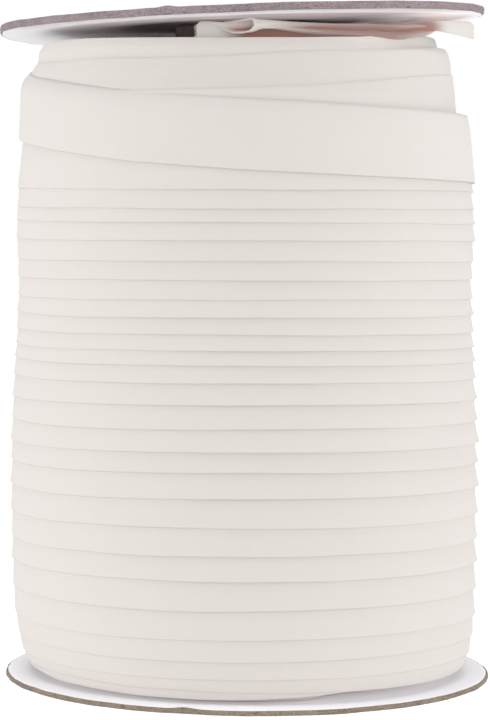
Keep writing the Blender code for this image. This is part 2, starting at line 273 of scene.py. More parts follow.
def wander(at: Array, spacing: float, seed: float) -> Array:
    """Smooth wandering values between -1 and 1, the same on every run.

    Args:
        at: Places along a line.
        spacing: Distance between the wandering's own points.
        seed: Number that picks the sequence.

    Returns:
        One value for each place.
    """
    place = np.asarray(at, float) / spacing
    low = np.floor(place)
    share = place - low
    share = share * share * (3.0 - 2.0 * share)

    def value(cell: Array) -> Array:
        """Fixed pseudo-random value of one cell."""
        wave = np.sin(cell * 12.9898 + seed * 78.233) * 43758.5453
        return (wave - np.floor(wave)) * 2.0 - 1.0

    return value(low) * (1.0 - share) + value(low + 1.0) * share


def axis_shift(height: Array | float) -> Array:
    """Sideways shift of the leaning axis at a height."""
    return read_table(AXIS_ROWS, np.asarray(height, float))


@dataclass(frozen=True)
class BoardLie:
    """How a board lies: its height and shift, its slopes, and the far corner that hangs."""

    height: float = 0.0
    shift: float = 0.0
    slope_x: float = 0.0
    slope_y: float = 0.0
    droop_azimuth: float = math.radians(130.0)
    droop_start: float = 20.0
    droop_depth: float = 0.0
    droop_reach: float = 63.4

    def underside(self, x: Array, y: Array) -> Array:
        """Height of the board's lower face above points of the plan."""
        height = self.height + self.slope_x * (x - self.shift) + self.slope_y * y
        across = (x - self.shift) * math.cos(self.droop_azimuth) + y * math.sin(self.droop_azimuth)
        share = np.maximum(0.0, across - self.droop_start) / (self.droop_reach - self.droop_start)
        return height - self.droop_depth * share * share


UPPER_LIE = BoardLie(171.6, -2.8, 0.0463, 0.0077, droop_depth=2.4)


def round_roll(azimuth: Array, radius: Array, height: Array) -> Array:
    """Points at azimuths in degrees, radii and heights round the leaning axis.

    Args:
        azimuth: Degrees from the front towards the left.
        radius: Distance from the axis.
        height: Height above the floor.

    Returns:
        An array of points, one a row.
    """
    angle = np.radians(azimuth)
    x = axis_shift(height) - radius * np.sin(angle)
    return np.stack([x, -radius * np.cos(angle), height], axis=1)


# ---------------------------------------------------------------------------------------------
# Mesh helpers
# ---------------------------------------------------------------------------------------------


def laid_grid(columns: int, points: int, place: Place, flat: tuple[float, float],
              painted_shade: Place | None = None) -> Shape:
    """A grid laid on a surface, with its flat lengths as the UV map.

    Args:
        columns: Number of faces along the grid.
        points: Number of faces across it.
        place: Gives millimetre points for shares along and across.
        flat: Flat size along and across, in metres.
        painted_shade: Gives the share of painted shade, as in a crease, for shares along and across.

    Returns:
        The laid grid in metres.
    """
    shape = bmesh.new()
    fold_shade = shape.verts.layers.float.new("painted_shade") if painted_shade else None
    layer = shape.loops.layers.uv.new("cloth")
    bmesh.ops.create_grid(shape, x_segments=columns, y_segments=points, size=0.5)
    shape.verts.ensure_lookup_table()
    along = np.array([vert.co.x for vert in shape.verts]) + 0.5
    across = np.array([vert.co.y for vert in shape.verts]) + 0.5
    for face in shape.faces:
        for loop in face.loops:
            loop[layer].uv = ((loop.vert.co.x + 0.5) * flat[0], (loop.vert.co.y + 0.5) * flat[1])
    for vert, point in zip(shape.verts, place(along, across)):
        vert.co = Vector(point) * MM
    if painted_shade:
        for vert, share in zip(shape.verts, painted_shade(along, across)):
            vert[fold_shade] = float(share)
    return shape


def spun_section(section: Sequence[tuple[float, float]], segments: int) -> Shape:
    """Spin a closed outline of (radius, height) points once round Z, in millimetres.

    Args:
        section: Points of the outline, in order.
        segments: Number of columns round.

    Returns:
        The closed ring.
    """
    shape = bmesh.new()
    verts = [shape.verts.new((0.0, -radius, height)) for radius, height in section]
    edges = [shape.edges.new((verts[i - 1], verts[i])) for i in range(len(verts))]
    bmesh.ops.spin(shape, geom=verts + edges, cent=(0, 0, 0), axis=(0, 0, 1), dvec=(0, 0, 0),
                   angle=math.tau, steps=segments, use_merge=True)
    bmesh.ops.recalc_face_normals(shape, faces=shape.faces)
    return shape


def add_object(name: str, data: bpy.types.ID) -> Piece:
    """A new object in the scene."""
    item = bpy.data.objects.new(name, data)
    bpy.context.scene.collection.objects.link(item)
    return item


def finish_piece(name: str, shape: Shape, finish: Finish,
                 replaces: Sequence[str] = (), sharp: float = 40.0) -> Piece:
    """Make a piece of a bmesh in metres, dress it and let it ride on the roll.

    Args:
        name: Name of the piece.
        shape: The mesh, which is freed.
        finish: Its finish.
        replaces: CAD nodes that it stands for.
        sharp: Angle in degrees past which an edge is sharp.

    Returns:
        The new object.
    """
    mesh = bpy.data.meshes.new(name)
    shape.to_mesh(mesh)
    shape.free()
    mesh.shade_smooth()
    mesh.set_sharp_from_angle(angle=math.radians(sharp))
    mesh.materials.append(finish.material())
    piece = add_object(name, mesh)
    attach(piece, "root")
    if replaces:
        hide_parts(*replaces)
    LOG.info("%s: %d faces", name, len(mesh.polygons))
    return piece


def finish_cloth(name: str, shape: Shape, thickness: float,
                 replaces: Sequence[str] = ()) -> Piece:
    """Make a piece of cloth of a laid grid, with its thickness behind the outer face.

    Args:
        name: Name of the piece.
        shape: The laid grid in metres, which is freed.
        thickness: Thickness in millimetres.
        replaces: CAD nodes that it stands for.

    Returns:
        The new object.
    """
    bmesh.ops.recalc_face_normals(shape, faces=shape.faces)
    piece = finish_piece(name, shape, Finish.CLOTH, replaces, 60.0)
    wall = piece.modifiers.new("cloth_thickness", "SOLIDIFY")
    wall.thickness = thickness * MM
    wall.offset = -1.0
    wall.use_quality_normals = True
    return piece


# ---------------------------------------------------------------------------------------------
# Materials
# ---------------------------------------------------------------------------------------------


class NodeBoard:
    """Places and links nodes in one node tree."""

    def __init__(self, tree: bpy.types.NodeTree) -> None:
        """Work in this tree."""
        self.tree = tree

    def add(self, kind: str, inputs: dict | None = None, **settings: object) -> bpy.types.Node:
        """Place a node, set its properties and feed its inputs.

        Args:
            kind: Type of the node.
            inputs: Value or socket for each input that is fed.
            **settings: Properties of the node.

        Returns:
            The node.
        """
        node = self.tree.nodes.new(kind)
        for name, value in settings.items():
            setattr(node, name, value)
        self.feed(node, inputs or {})
        return node

    def feed(self, node: bpy.types.Node, inputs: dict) -> None:
        """Link inputs of a node, or set their values, colours with full alpha.

        Args:
            node: The node.
            inputs: Value or socket for each input, by its name or number.
        """
        for key, value in inputs.items():
            socket = node.inputs[key]
            if isinstance(value, Socket):
                self.tree.links.new(value, socket)
            else:
                socket.default_value = (*value, 1.0) if socket.type == "RGBA" else value

    def sum(self, kind: str, *values: object) -> Socket:
        """Place a Math node over the values and return its result."""
        return self.add("ShaderNodeMath", dict(enumerate(values)), operation=kind).outputs[0]

    def noise(self, vector: Socket, scale: object, detail: float = 3.0,
              roughness: float = 0.55) -> Socket:
        """Place a Noise Texture and return its value."""
        inputs = {"Vector": vector, "Scale": scale, "Detail": detail, "Roughness": roughness}
        return self.add("ShaderNodeTexNoise", inputs).outputs["Fac"]

    def mapping(self, vector: Socket, scale: Sequence[float],
                turn: float = 0.0) -> Socket:
        """Place a Mapping node that turns about Z, then scales, and return its vector."""
        inputs = {"Vector": vector, "Rotation": (0.0, 0.0, turn), "Scale": [1.0 / part for part in scale]}
        return self.add("ShaderNodeMapping", inputs, vector_type="TEXTURE").outputs[0]

    def grade(self, value: object, low: float, high: float, start: float = 0.0,
              end: float = 1.0) -> Socket:
        """Place a Map Range node from low..high to start..end and return its result."""
        inputs = dict(enumerate((value, low, high, start, end)))
        return self.add("ShaderNodeMapRange", inputs, clamp=True).outputs[0]

    def blend(self, share: object, first: object, second: object) -> Socket:
        """Place a colour Mix node and return its colour."""
        return self.add("ShaderNodeMix", {0: share, 6: first, 7: second}, data_type="RGBA").outputs[2]

    def scaled(self, vector: Socket, scale: object) -> Socket:
        """Place a node that scales a vector or a colour and return its result."""
        return self.add("ShaderNodeVectorMath", {0: vector, "Scale": scale}, operation="SCALE").outputs[0]

    def parts(self, vector: Socket) -> list[Socket]:
        """Place a Separate XYZ node and return its three parts."""
        return list(self.add("ShaderNodeSeparateXYZ", {0: vector}).outputs)

    def mark(self, name: str) -> Socket:
        """Place an Attribute node and return what the mesh says there."""
        return self.add("ShaderNodeAttribute", attribute_name=name).outputs["Fac"]

    def bump(self, height: Socket, strength: float, depth: float) -> Socket:
        """Place a Bump node of a depth in millimetres and return its normal."""
        inputs = {"Strength": strength, "Distance": depth * MM, "Height": height}
        return self.add("ShaderNodeBump", inputs).outputs[0]

    def effect(self, effect: Effect, inputs: dict) -> bpy.types.bpy_prop_collection:
        """Place a shared effect, fed with these inputs, and return its outputs."""
        return self.add("ShaderNodeGroup", inputs, node_tree=effect_group(effect)).outputs


class Effect(Enum):
    """Shared shader effects, each one node group."""

    WEAVE = "bias_weave"
    FIBRE = "paper_fibre"


def group_frame(effect: Effect, inputs: Sequence[tuple], outputs: Sequence[str]) -> tuple:
    """Start a node group with named sockets.

    Args:
        effect: Which effect the group makes.
        inputs: (name, socket kind, default) of each input.
        outputs: Names of the value outputs.

    Returns:
        The group, its NodeBoard, the sockets of its inputs and its output node.
    """
    group = bpy.data.node_groups.new(effect.value, "ShaderNodeTree")
    for name, kind, default in inputs:
        socket = group.interface.new_socket(name, in_out="INPUT", socket_type=kind)
        if default is not None:
            socket.default_value = default
    for name in outputs:
        group.interface.new_socket(name, in_out="OUTPUT", socket_type="NodeSocketFloat")
    nodes = NodeBoard(group)
    return group, nodes, nodes.add("NodeGroupInput").outputs, nodes.add("NodeGroupOutput")


def weave_group() -> bpy.types.NodeTree:
    """Plain weave cut on the bias, from flat cloth lengths in metres."""
    group, nodes, given, result = group_frame(
        Effect.WEAVE,
        [("Cloth", "NodeSocketVector", None), ("Threads", "NodeSocketFloat", 2200.0)],
        ["Height", "Slub"])
    wide = nodes.scaled(nodes.mapping(given["Cloth"], (1.0, 1.0, 1.0), math.radians(45.0)), given["Threads"])
    profile, cells = [], []
    for part in nodes.parts(wide)[:2]:
        share = nodes.sum("FRACT", part)
        rest = nodes.sum("SUBTRACT", 1.0, share)
        profile.append(nodes.sum("MULTIPLY", nodes.sum("MULTIPLY", share, rest), 4.0))
        cells.append(nodes.sum("FLOOR", part))
    parity = nodes.sum("PINGPONG", nodes.sum("ADD", *cells), 1.0)
    other = nodes.sum("SUBTRACT", 1.0, parity)
    over = nodes.sum("ADD", nodes.sum("MULTIPLY", profile[0], parity),
                     nodes.sum("MULTIPLY", profile[1], other))
    under = nodes.sum("MULTIPLY", *profile)
    streaks = [nodes.noise(nodes.mapping(wide, scale), 1.0, 2.0)
               for scale in ((0.06, 1.0, 1.0), (1.0, 0.06, 1.0))]
    nodes.feed(result, {
        "Height": nodes.sum("ADD", nodes.sum("MULTIPLY", over, 0.7), nodes.sum("MULTIPLY", under, 0.3)),
        "Slub": nodes.sum("MULTIPLY", nodes.sum("ADD", *streaks), 0.5)})
    return group


def fibre_group() -> bpy.types.NodeTree:
    """Cloudy fibres of paper and pressed card, from Object coordinates in metres."""
    group, nodes, given, result = group_frame(
        Effect.FIBRE,
        [("Object", "NodeSocketVector", None), ("Fineness", "NodeSocketFloat", 900.0),
         ("Layering", "NodeSocketFloat", 1.0)],
        ["Height", "Cloud", "Fleck"])
    x, y, z = nodes.parts(given["Object"])
    layered = nodes.sum("MULTIPLY", z, given["Layering"])
    place = nodes.add("ShaderNodeCombineXYZ", {0: x, 1: y, 2: layered}).outputs[0]
    nodes.feed(result, {
        "Height": nodes.noise(place, given["Fineness"], 4.0, 0.7),
        "Cloud": nodes.noise(place, 160.0, 3.0, 0.6),
        "Fleck": nodes.grade(nodes.noise(place, 700.0, 2.0, 0.5), 0.6, 0.74)})
    return group


def effect_group(effect: Effect) -> bpy.types.NodeTree:
    """The node group of an effect, built the first time it is asked for."""
    made = bpy.data.node_groups.get(effect.value)
    if made is not None:
        return made
    return {Effect.WEAVE: weave_group, Effect.FIBRE: fibre_group}[effect]()


def blank_material(name: str, colour: Sequence[float]) -> tuple:
    """A new material with its Principled shader.

    Args:
        name: Name of the material.
        colour: Colour shown in plain views.

    Returns:
        The material, its NodeBoard and its shader node.
    """
    material = bpy.data.materials.new(name)
    material.use_nodes = True
    material.diffuse_color = (*colour, 1.0)
    nodes = NodeBoard(material.node_tree)
    shader = material.node_tree.nodes["Principled BSDF"]
    return material, nodes, shader


@dataclass(frozen=True)
class ClothFinish:
    """Matt cotton tape cut on the bias, ivory, with a little of its thread showing; painted shade between
    its threads and in the places that a mesh marks.
    """

    name: str = "ivory_cotton"
    light: tuple = (0.53, 0.474, 0.422)
    weave_shade: tuple = (0.503, 0.442, 0.388)
    pink: tuple = (0.53, 0.468, 0.424)
    # Colour of the painted shade in creases, hollows and the dark gap under the board.
    fold_shade: tuple = (0.17, 0.055, 0.035)
    threads: float = 1900.0
    bump: float = 0.3
    depth: float = 0.06
    sheen: float = 0.25

    def make(self) -> Material:
        """Build the material."""
        material, nodes, shader = blank_material(self.name, self.light)
        cloth = nodes.add("ShaderNodeUVMap", uv_map="cloth").outputs[0]
        weave = nodes.effect(Effect.WEAVE, {"Cloth": cloth, "Threads": self.threads})
        cloud = nodes.grade(nodes.noise(cloth, 55.0, 2.0), 0.35, 0.65)
        body = nodes.blend(cloud, self.light, self.pink)
        # Painted shade between the threads: the colour darkens towards the shade colour where the weave
        # dips.
        woven = nodes.blend(nodes.grade(weave["Height"], 0.0, 0.75), self.weave_shade, body)
        slubby = nodes.scaled(woven, nodes.grade(weave["Slub"], 0.3, 0.7, 0.975, 1.015))
        # Painted shade: the colour goes towards the shade colour as far as the mesh's share of painted shade
        # says.
        nodes.feed(shader, {
            "Base Color": nodes.blend(nodes.mark("painted_shade"), slubby, self.fold_shade),
            "Roughness": nodes.grade(weave["Slub"], 0.3, 0.7, 0.82, 0.95),
            "Normal": nodes.bump(weave["Height"], self.bump, self.depth),
            "Specular IOR Level": 0.2, "Sheen Weight": self.sheen, "Sheen Roughness": 0.55,
            "Sheen Tint": (1.0, 0.97, 0.94)})
        return material


@dataclass(frozen=True)
class CardFinish:
    """Pressed card or its paper facing: two tones, flecks and a grain, and on some facings painted light and
    painted shade.
    """

    name: str
    light: tuple
    dark: tuple
    fleck: tuple
    fleck_share: float
    fineness: float
    layering: float
    bump: float
    depth: float
    roughness: float = 0.9
    # Colour of the painted light, sent out as emission; shadow is the colour of the painted shade.
    glow: tuple | None = None
    shadow: tuple = (0.1, 0.045, 0.06)

    def make(self) -> Material:
        """Build the material."""
        material, nodes, shader = blank_material(self.name, self.light)
        place = nodes.add("ShaderNodeTexCoord").outputs["Object"]
        fibre = nodes.effect(Effect.FIBRE, {"Object": place, "Fineness": self.fineness,
                                            "Layering": self.layering})
        share = nodes.sum("ADD", nodes.grade(fibre["Cloud"], 0.35, 0.65, 0.0, 0.3),
                          nodes.grade(fibre["Height"], 0.4, 0.6, 0.0, 0.7))
        body = nodes.blend(share, self.dark, self.light)
        toned = nodes.blend(nodes.sum("MULTIPLY", fibre["Fleck"], self.fleck_share), body, self.fleck)
        # Painted shade from the mesh's shade share, and painted light as emission from its lift share.
        if self.glow is not None:
            toned = nodes.blend(nodes.mark("shade"), toned, self.shadow)
            nodes.feed(shader, {"Emission Strength": nodes.mark("lift"), "Emission Color": self.glow})
        smooth, rough = self.roughness - 0.06, self.roughness + 0.04
        nodes.feed(shader, {
            "Base Color": toned,
            "Roughness": nodes.grade(fibre["Cloud"], 0.3, 0.7, smooth, rough),
            "Normal": nodes.bump(fibre["Height"], self.bump, self.depth),
            "Specular IOR Level": 0.25})
        return material


class Finish(Enum):
    """The roll's finishes, each one material."""

    CLOTH = ClothFinish()
    THREAD = CardFinish(
        "loose_thread", light=(0.66, 0.61, 0.56), dark=(0.62, 0.56, 0.51), fleck=(0.5, 0.44, 0.38),
        fleck_share=0.2, fineness=2500.0, layering=1.0, bump=0.1, depth=0.02)
    GREYBOARD = CardFinish(
        "greyboard_edge", light=(0.23, 0.155, 0.1), dark=(0.045, 0.03, 0.018), fleck=(0.035, 0.022, 0.016),
        fleck_share=0.8, fineness=2000.0, layering=2.2, bump=0.9, depth=0.25)
    LILAC_BOARD = replace(
        GREYBOARD, name="lilac_greyboard_edge", light=(0.25, 0.175, 0.18), dark=(0.05, 0.034, 0.036),
        fleck=(0.03, 0.02, 0.022))
    FACING = CardFinish(
        "white_facing", light=(0.93, 0.90, 0.92), dark=(0.89, 0.86, 0.88), fleck=(0.8, 0.77, 0.77),
        fleck_share=0.25, fineness=2600.0, layering=1.0, bump=0.15, depth=0.05, roughness=0.75)
    # Facings that take painted light, and under the upper board painted shade as well.
    SLOT_FACING = replace(FACING, name="slot_facing_painted_light", glow=(1.0, 0.8, 0.8))
    FOOT_FACING = replace(FACING, name="foot_facing_painted_light", glow=(0.97, 0.9, 1.0))
    # Near black: painted shade, as the tube shows only far inside the dark gap under the upper board.
    TUBE_CARD_PAINTED_SHADE = CardFinish(
        "wound_card_painted_shade", light=(0.06, 0.035, 0.03), dark=(0.04, 0.022, 0.02), fleck=(0.03, 0.018, 0.015),
        fleck_share=0.5, fineness=1200.0, layering=2.0, bump=0.5, depth=0.15)

    def material(self) -> Material:
        """The finish's material, made the first time it is asked for."""
        made = bpy.data.materials.get(self.value.name)
        return made if made is not None else self.value.make()


# ---------------------------------------------------------------------------------------------
# Boards and tube
# ---------------------------------------------------------------------------------------------


@dataclass(frozen=True)
class PaintedPaperLight:
    """Painted light on a facing, sent out as emission in place of the light that the cloth sends on to it,
    and painted shade where that light ends.
    """

    finish: Finish
    top: bool
    radii: tuple
    rows: list
    dark: float = 0.0
    darkest: float = 0.85

    def note(self, shape: Shape) -> None:
        """Write the shares of painted light and painted shade to the facing's corners."""
        x = np.array([vert.co.x for vert in shape.verts])
        y = np.array([vert.co.y for vert in shape.verts])
        azimuth, reach = np.degrees(np.arctan2(-x, -y)), np.hypot(x, y)
        numbers = range(len(self.radii))
        columns = np.array([read_table(self.rows, azimuth, number + 1) for number in numbers])
        at = np.clip(np.interp(reach, self.radii, numbers), 0.0, numbers[-1] - 0.001)
        low = at.astype(int)
        picks = np.arange(len(at))
        painted_light_shares = columns[low, picks] + (columns[low + 1, picks] - columns[low, picks]) * (at - low)
        painted_light_shares *= ramp(reach, 20.0, 28.0)
        # Painted shade, strongest beside the tube, and on the near side at the rim and over the body.
        near_side = ramp(azimuth, -75.0, -50.0) * ramp(azimuth, 80.0, 62.0)
        rim, body = 0.35 * ramp(reach, 54.0, 58.5), 0.15 * ramp(reach, 52.0, 46.0)
        beside_tube = self.darkest * ramp(reach, 38.0, 28.0)
        shades = self.dark * np.minimum(beside_tube + (rim + body) * near_side, self.darkest)
        # Each corner gets shade, its share of painted shade, and lift, its share of painted light sent out
        # as emission.
        shade = shape.verts.layers.float.new("shade")
        lift = shape.verts.layers.float.new("lift")
        for vert, dark, light in zip(shape.verts, shades, painted_light_shares):
            vert[shade], vert[lift] = float(dark), float(light)


class Burr(NamedTuple):
    """A place on a rim where the cut has raised the paper: azimuth, width in degrees, lift, reach."""

    azimuth: float
    width: float
    lift: float
    reach: float


@dataclass
class Board:
    """One round board: greyboard between two paper facings."""

    name: str
    radius: float
    thickness: float
    lie: BoardLie
    seed: float
    hole: float = 13.5
    paper: float = 0.14
    segments: int = 360
    card: Finish = Finish.GREYBOARD
    white_edge: bool = False
    worn: float = 0.35
    rough: float = 0.14
    glow: PaintedPaperLight | None = None
    burrs: list[Burr] = field(default_factory=list)

    def lay(self, shape: Shape) -> None:
        """Shift, tilt and droop the level shape onto its lie, and turn it into metres."""
        x = np.array([vert.co.x for vert in shape.verts]) + self.lie.shift
        y = np.array([vert.co.y for vert in shape.verts])
        drop = self.lie.underside(x, y)
        for vert, side, height in zip(shape.verts, x, drop):
            vert.co = Vector((side, vert.co.y, vert.co.z + height)) * MM

    def roughen(self, shape: Shape, top: bool) -> None:
        """Make the rim uneven, more so at its burrs.

        Args:
            shape: The level shape, in millimetres.
            top: Whether it belongs to the upper face.
        """
        for vert in shape.verts:
            reach = math.hypot(vert.co.x, vert.co.y)
            near = float(ramp(reach, self.radius - 3.0, self.radius - 0.3))
            if near <= 0.0:
                continue
            azimuth = math.degrees(math.atan2(-vert.co.x, -vert.co.y))
            level = vert.co.z / self.thickness
            push = float(wander(azimuth, 3.1, self.seed + round(level * 5)))
            push += 0.6 * float(wander(azimuth, 1.3, self.seed + 7 + round(level * 5)))
            rise = float(wander(azimuth, 5.3, self.seed + 3)) * self.rough * 0.5
            for burr in self.burrs:
                share = math.exp(-(wrapped(azimuth - burr.azimuth) / burr.width) ** 2)
                if top == (burr.lift > 0.0):
                    rise += burr.lift * share
                    push += burr.reach * share / self.rough
            scale = 1.0 + near * self.rough * push / reach
            vert.co.x *= scale
            vert.co.y *= scale
            vert.co.z += near * rise

    def core(self) -> Piece:
        """The greyboard between the facings, with its rough cut rim."""
        low, high = self.paper * 0.9, self.thickness - self.paper * 0.9
        crest = high if self.white_edge else self.thickness - 0.02
        rim = [(self.radius - 0.06 - self.worn * abs(2.0 * z / self.thickness - 1.0) ** 3, z)
               for z in np.linspace(0.02, crest, 9).tolist()]
        lip = self.radius - self.worn - 0.3
        stations = [self.hole, 30.0, 42.0, 50.0, 56.0, 60.0]
        section = [(r, low) for r in stations] + [(lip, low), (lip, 0.02)] + rim + [(lip, crest)]
        section += [(r, high) for r in ([lip] if crest > high else []) + stations[::-1]]
        shape = spun_section(section, self.segments)
        self.roughen(shape, True)
        self.lay(shape)
        return finish_piece(f"{self.name}_core", shape, self.card, [self.name], 50.0)

    def facing(self, top: bool) -> Piece:
        """One paper facing, whose edge follows the cut only roughly."""
        low = self.thickness - self.paper if top else 0.0
        high = low + self.paper
        edge = self.radius - self.worn * 0.8 - (0.02 if top and self.white_edge else 0.32)
        radii = [self.hole - 0.1, 20.0, 26.0, 30.0, 34.0, 38.0, 42.0, 46.0, 50.0, 53.0, 56.0, 58.0,
                 60.0, 62.0, edge - 0.08]
        section = [(r, low) for r in radii] + [(edge, low + 0.03), (edge, high - 0.03)]
        section += [(r, high) for r in reversed(radii)]
        shape = spun_section(section, self.segments)
        self.roughen(shape, top)
        # A facing that takes painted light and painted shade gets its shares written here.
        toned = self.glow is not None and top == self.glow.top
        if toned:
            self.glow.note(shape)
        self.lay(shape)
        side = "top" if top else "under"
        finish = self.glow.finish if toned else Finish.FACING
        return finish_piece(f"{self.name}_{side}_paper", shape, finish, [], 50.0)

    def build(self) -> list[Piece]:
        """Build the board's three pieces."""
        return [self.core(), self.facing(True), self.facing(False)]


@dataclass
class CoreTube:
    """The card tube, which stays the CAD node with a near-black card finish that is painted shade."""

    node: str = "core_tube"

    def build(self) -> Piece:
        """Dress the node."""
        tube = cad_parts[self.node]
        tube.data.materials.clear()
        tube.data.materials.append(Finish.TUBE_CARD_PAINTED_SHADE.material())
        LOG.info("%s: dressed", self.node)
        return tube


# ---------------------------------------------------------------------------------------------
# Wound tape
# ---------------------------------------------------------------------------------------------


@dataclass
class InnerLayers:
    """The wound layers inside, closed below the outer turns, with their folded edges on top, and painted
    shade on that top.
    """

    bore: float = 17.9
    foot: float = 1.7
    foot_radius: float = 51.6
    rim_height: float = 165.2
    rim_radius: float = 50.4
    ridge: float = 1.15
    ridge_depth: float = 0.35
    dent: float = 0.12
    tilt: float = 0.030
    segments: int = 160

    def section(self) -> list[tuple[float, float]]:
        """Outline of the half section, from the bore's foot round the outside to its top."""
        top = []
        radius = self.rim_radius
        while radius > self.bore + self.ridge:
            crest = self.rim_height + float(wander(radius, 4.0, 5.0)) * 0.25
            top.append((radius, crest - self.ridge_depth))
            top += [(radius - share * self.ridge, crest) for share in (0.3, 0.7)]
            radius -= self.ridge
        foot = [(self.bore, self.foot), (self.foot_radius, self.foot)]
        return foot + INNER_OUTLINE + top + [(self.bore, self.rim_height)]

    def build(self) -> Piece:
        """Spin the section and lean it with the roll."""
        shape = spun_section(self.section(), self.segments)
        layer = shape.loops.layers.uv.new("cloth")
        for face in shape.faces:
            for loop in face.loops:
                place = loop.vert.co
                up = (place.z + math.hypot(place.x, place.y)) * MM
                loop[layer].uv = (math.atan2(place.x, place.y) * 0.05, up)
        painted_shade = shape.verts.layers.float.new("painted_shade")
        for vert in shape.verts:
            azimuth = math.degrees(math.atan2(-vert.co.x, -vert.co.y))
            right = ramp(azimuth, -15.0, -30.0) * ramp(azimuth, -88.0, -72.0)
            dent = self.dent * float(right * ramp(vert.co.z, 6.0, 4.0))
            vert.co.x *= 1.0 - dent
            vert.co.y *= 1.0 - dent
            # Painted shade on the top inside the rim, far inside the gap under the upper board.
            inside = float(ramp(math.hypot(vert.co.x, vert.co.y), 50.3, 48.0))
            vert[painted_shade] = inside * float(ramp(vert.co.z, 158.0, 162.0))
            vert.co.x += float(axis_shift(vert.co.z))
            vert.co.z += self.tilt * float(ramp(vert.co.z, 135.0, 160.0)) * max(vert.co.x, -10.0)
            vert.co *= MM
        return finish_piece("inner_layers", shape, Finish.CLOTH, [], 35.0)


@dataclass
class OuterTurns:
    """The outermost turns, last wrap and loose end: one long strip, each turn lapped on the next below."""

    first_turn: float = 1.82
    wrap_turn: int = 27
    end_azimuth: float = 374.0
    width: float = 17.6
    thickness: float = 0.3
    layer: float = 0.4
    column: float = 3.6
    end_column: float = 1.2
    end_from: float = 288.0
    side_drop: float = 1.5
    drop_top: float = 130.0
    levelling: float = 1.5
    top_pitch: float = 5.0
    side_step: float = 0.35
    bend: float = 2.4
    board_gap: float = 0.35

    @property
    def joint(self) -> float:
        """Azimuth at which the last wrap ends and the loose end begins."""
        return (self.wrap_turn + 1) * FULL_TURN

    def stations(self) -> Array:
        """Azimuths of the strip's columns, counted on from turn to turn."""
        start, end = self.first_turn * FULL_TURN, self.joint + self.end_azimuth
        coarse = np.arange(start, self.joint + self.end_from, self.column)
        fine = np.arange(self.joint + self.end_from, end + 0.01, self.end_column)
        return np.concatenate([coarse, fine])

    @staticmethod
    def shares() -> Array:
        """Where the strip's points lie across it, closest near the lower edge."""
        return np.array([0.0, 0.012, 0.035, 0.08, 0.14, 0.2, 0.26, 0.32, 0.4, 0.5, 0.62, 0.72, 0.8, 0.87,
                         0.94, 1.0])

    def edge(self, azimuth: Array) -> Array:
        """Height of the strip's lower edge at azimuths counted on from turn to turn."""
        plain = azimuth / FULL_TURN
        turn = plain - self.levelling / math.tau * np.sin(np.radians(azimuth))
        heights = [row.height for row in TURN_ROWS]
        above = self.top_pitch * np.maximum(turn - len(heights) + 1, 0.0)
        height = np.interp(turn, np.arange(len(heights)), heights) + above
        foot = read_table(FOOT_ROWS, plain)
        height = foot + (height - foot) * ramp(plain, FOOT_ROWS[-2].at, FOOT_ROWS[-1].at)
        sway = 0.16 * wander(azimuth, 47.0, 1.0) + 0.1 * wander(azimuth, 17.0, 2.0)
        return height + sway * (0.3 + 0.7 * ramp(plain, 2.8, 3.6))

    def turn_points(self, azimuth: Array, across: Array) -> Array:
        """Points of the lapped turns.

        Args:
            azimuth: Azimuths, counted on from turn to turn.
            across: Distances from the lower edge.

        Returns:
            Points in millimetres.
        """
        heights = [row.height for row in TURN_ROWS]
        left = np.sin(np.radians(azimuth))
        edges = np.array([self.edge(azimuth + FULL_TURN * lap) for lap in range(10)])
        height = edges[0] + across
        covered = np.minimum((height >= edges[1:] - 1e-6).sum(axis=0), len(edges) - 2)
        picks = np.arange(len(height))
        lower, upper = edges[covered, picks], edges[covered + 1, picks]
        rest = np.clip((height - lower) / np.maximum(upper - lower, 0.01), 0.0, 1.0)
        step = np.interp(upper, heights, [row.step for row in TURN_ROWS]) * (0.9 - self.side_step * left)
        radii = [row.radius for row in TURN_ROWS]
        lip, root = np.interp(lower, heights, radii), np.interp(upper, heights, radii) - step
        radius = lip + (root - lip) * (0.72 * rest + 0.28 * (1.0 - (1.0 - rest) ** 4)) - covered * self.layer
        bare = np.where(covered > 0, 0.0, 1.0 - rest)
        radius += 0.09 * wander(azimuth, 31.0, 3.0) * bare
        radius += 0.05 * wander(azimuth, 9.0, 4.0) * ramp(bare, 0.2, 1.0)
        wave = np.sin(math.pi * np.clip(height, 0.0, self.drop_top) / self.drop_top)
        height = height - self.side_drop * wave * left * left
        return round_roll(azimuth, radius, height)

    def wrap_points(self, azimuth: Array, across: Array) -> Array:
        """Points of the last wrap and the loose end, at azimuths of TAPE_ROWS."""
        columns = [read_table(TAPE_ROWS, azimuth, number) for number in range(1, 6)]
        radius, height, upright, lean, tuck = columns
        height = height + 0.12 * wander(azimuth, 47.0, 6.0)
        shift = axis_shift(height)
        angle = np.radians(azimuth)
        x, y = shift - radius * np.sin(angle), -radius * np.cos(angle)
        ceiling = UPPER_LIE.underside(x, y) - self.board_gap
        upright = np.minimum(upright, ceiling - height - self.bend * 2.0 / math.pi)
        steps = 80
        pace = across / steps
        outward = np.zeros_like(across)
        upward = np.zeros_like(across)
        for number in range(steps):
            at = (number + 0.5) * pace
            bent = np.clip((at - upright) / self.bend, 0.0, 1.0)
            curl = np.radians(tuck) * ramp(at, self.width - 6.0, self.width) * (1.0 - bent)
            turn = math.pi / 2.0 * (1.0 + bent) + np.radians(lean) * (1.0 - bent) + curl
            outward += np.cos(turn) * pace
            upward += np.sin(turn) * pace
        points = round_roll(azimuth, radius + outward, height + upward)
        points[:, 0] += shift - axis_shift(height + upward)
        roof = UPPER_LIE.underside(points[:, 0], points[:, 1]) - self.board_gap
        points[:, 2] = np.minimum(points[:, 2], roof)
        return points

